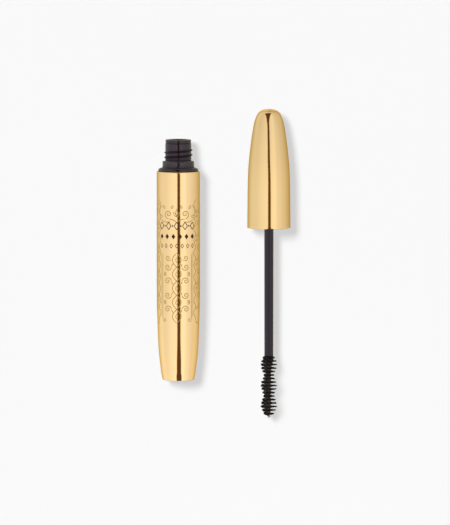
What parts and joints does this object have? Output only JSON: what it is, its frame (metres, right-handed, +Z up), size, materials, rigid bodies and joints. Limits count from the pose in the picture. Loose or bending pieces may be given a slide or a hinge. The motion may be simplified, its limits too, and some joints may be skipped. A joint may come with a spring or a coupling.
{
  "type": "mascara tube",
  "caption": "Open mascara lying flat: gold sleeved tube with a black threaded neck and wiper, beside a bullet-shaped gold cap with stem and twisted-wire brush.",
  "frame": {"origin": "under the middle of the pair, on the surface that the tube and the cap lie on", "axes": "+Y from the tube's base towards its neck, along both long axes; +X from the tube to the applicator; +Z up from the surface"},
  "size_m": [0.0534, 0.124, 0.0173],
  "materials": {
    "gold_shell": "polished gold anodised",
    "black_bottle": "satin moulded",
    "wiper_soft": "satin soft polyethylene",
    "formula": "wet black paste",
    "liner_foam": "closed-cell foam",
    "stem_black": "satin",
    "wire_steel": "drawn wire",
    "bristle_nylon": "fine black fibres"
  },
  "bodies": {
    "tube": {"outer_sleeve": "gold_shell", "inner_bottle": "black_bottle", "wiper": "wiper_soft", "mascara_formula": "formula"},
    "liner": {"cap_liner": "liner_foam"},
    "applicator": {"overcap": "gold_shell", "inner_cap": "black_bottle", "stem": "stem_black", "brush_wire": "wire_steel", "bristles": "bristle_nylon"}
  },
  "joints": [
    {"name": "applicator_carry", "type": "slide", "parent": "tube", "child": "liner", "axis": [-0.226, 0.9741, 0], "range_m": [0, 0.16015]},
    {"name": "cap_twist", "type": "hinge", "parent": "liner", "child": "applicator", "pos_m": [0.0181, 0.02676, 0.00865], "axis": [0, 1, 0], "range_deg": [-540, 0]}
  ]
}
